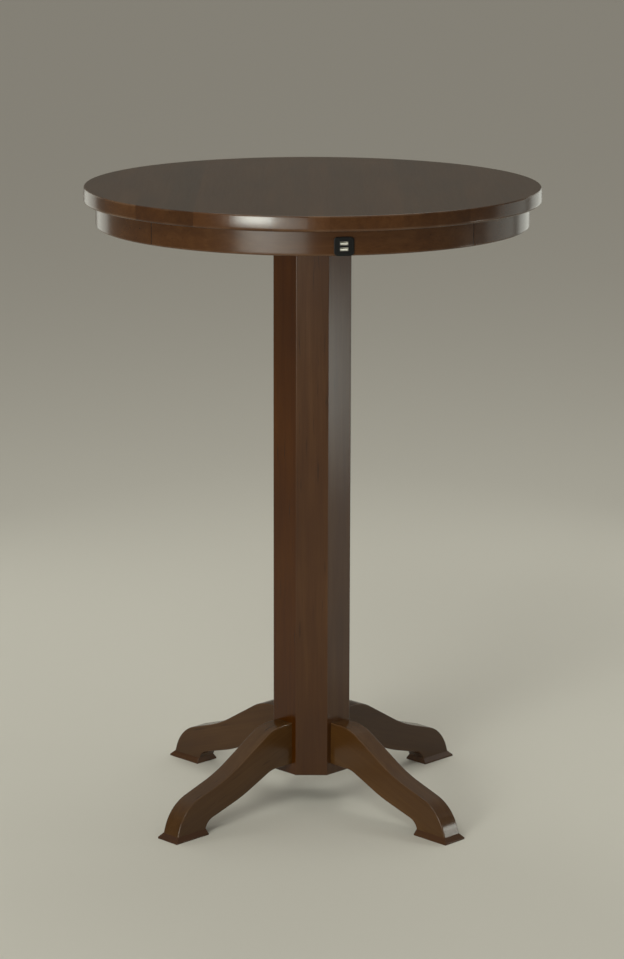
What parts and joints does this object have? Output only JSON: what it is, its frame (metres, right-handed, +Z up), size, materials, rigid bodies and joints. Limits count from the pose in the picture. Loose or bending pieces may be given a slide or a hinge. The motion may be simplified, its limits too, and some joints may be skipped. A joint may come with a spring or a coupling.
{
  "type": "pub table",
  "caption": "Round bar-height pedestal table: disc top on an apron ring with a charging socket, eight-sided stave column, S-curved plank legs, flared foot pads with hidden levellers.",
  "frame": {"origin": "on the floor, on the axis of the column and the round top", "axes": "+Z up, -Y towards the front, where the charging sockets in the apron are, +X to the right of someone facing the front"},
  "size_m": [0.7619, 0.762, 1.0668],
  "materials": {
    "stained_wood": "dark brown stain under semi-gloss lacquer",
    "plain_wood": "planed, unfinished",
    "zinc_steel": "zinc plated",
    "outlet_black": "moulded black ABS, satin",
    "socket_nickel": "nickel plated",
    "socket_white": "moulded white",
    "board_green": "green solder mask",
    "nylon": "moulded black nylon"
  },
  "bodies": {
    "table": {"apron_back": "stained_wood", "apron_front": "stained_wood", "apron_left": "stained_wood", "apron_right": "stained_wood", "apron_splice_back_left": "plain_wood", "apron_splice_back_right": "plain_wood", "apron_splice_front_left": "plain_wood", "apron_splice_front_right": "plain_wood", "apron_splice_screws": "zinc_steel", "cleat_lower": "plain_wood", "cleat_upper": "plain_wood", "column_head_block": "plain_wood", "column_screws": "zinc_steel", "column_stave_back": "stained_wood", "column_stave_back_left": "stained_wood", "column_stave_back_right": "stained_wood", "column_stave_front": "stained_wood", "column_stave_front_left": "stained_wood", "column_stave_front_right": "stained_wood", "column_stave_left": "stained_wood", "column_stave_right": "stained_wood", "foot_pad_back_left": "stained_wood", "foot_pad_back_right": "stained_wood", "foot_pad_front_left": "stained_wood", "foot_pad_front_right": "stained_wood", "foot_pad_screws": "zinc_steel", "leg_back_left": "stained_wood", "leg_back_right": "stained_wood", "leg_bolt_nuts": "zinc_steel", "leg_bolt_washers": "zinc_steel", "leg_front_left": "stained_wood", "leg_front_right": "stained_wood", "leg_hanger_bolts": "zinc_steel", "leveler_tee_nuts": "zinc_steel", "outlet_back_cover": "outlet_black", "outlet_board": "board_green", "outlet_housing": "outlet_black", "outlet_socket_inserts": "socket_white", "outlet_socket_shells": "socket_nickel", "table_top": "stained_wood", "top_screws": "zinc_steel"},
    "leveler_base_front_right": {"leveler_base_front_right": "nylon"},
    "leveler_stem_front_right": {"leveler_stem_front_right": "zinc_steel"},
    "leveler_base_back_right": {"leveler_base_back_right": "nylon"},
    "leveler_stem_back_right": {"leveler_stem_back_right": "zinc_steel"},
    "leveler_base_back_left": {"leveler_base_back_left": "nylon"},
    "leveler_stem_back_left": {"leveler_stem_back_left": "zinc_steel"},
    "leveler_base_front_left": {"leveler_base_front_left": "nylon"},
    "leveler_stem_front_left": {"leveler_stem_front_left": "zinc_steel"}
  },
  "joints": [
    {"name": "leveler_slide_front_right", "type": "slide", "parent": "table", "child": "leveler_base_front_right", "axis": [0, 0, -1], "range_m": [0, 0.01]},
    {"name": "leveler_turn_front_right", "type": "hinge", "parent": "leveler_base_front_right", "child": "leveler_stem_front_right", "pos_m": [0.21143, -0.21143, 0.01], "axis": [0, 0, -1], "range_deg": [0, 2880]},
    {"name": "leveler_slide_back_right", "type": "slide", "parent": "table", "child": "leveler_base_back_right", "axis": [0, 0, -1], "range_m": [0, 0.01]},
    {"name": "leveler_turn_back_right", "type": "hinge", "parent": "leveler_base_back_right", "child": "leveler_stem_back_right", "pos_m": [0.21143, 0.21143, 0.01], "axis": [0, 0, -1], "range_deg": [0, 2880]},
    {"name": "leveler_slide_back_left", "type": "slide", "parent": "table", "child": "leveler_base_back_left", "axis": [0, 0, -1], "range_m": [0, 0.01]},
    {"name": "leveler_turn_back_left", "type": "hinge", "parent": "leveler_base_back_left", "child": "leveler_stem_back_left", "pos_m": [-0.21143, 0.21143, 0.01], "axis": [0, 0, -1], "range_deg": [0, 2880]},
    {"name": "leveler_slide_front_left", "type": "slide", "parent": "table", "child": "leveler_base_front_left", "axis": [0, 0, -1], "range_m": [0, 0.01]},
    {"name": "leveler_turn_front_left", "type": "hinge", "parent": "leveler_base_front_left", "child": "leveler_stem_front_left", "pos_m": [-0.21143, -0.21143, 0.01], "axis": [0, 0, -1], "range_deg": [0, 2880]}
  ],
  "couplings": [
    {"joint": "leveler_slide_front_right", "follows": "leveler_turn_front_right", "m_per_rad": 0.00019894},
    {"joint": "leveler_slide_back_right", "follows": "leveler_turn_back_right", "m_per_rad": 0.00019894},
    {"joint": "leveler_slide_back_left", "follows": "leveler_turn_back_left", "m_per_rad": 0.00019894},
    {"joint": "leveler_slide_front_left", "follows": "leveler_turn_front_left", "m_per_rad": 0.00019894}
  ]
}
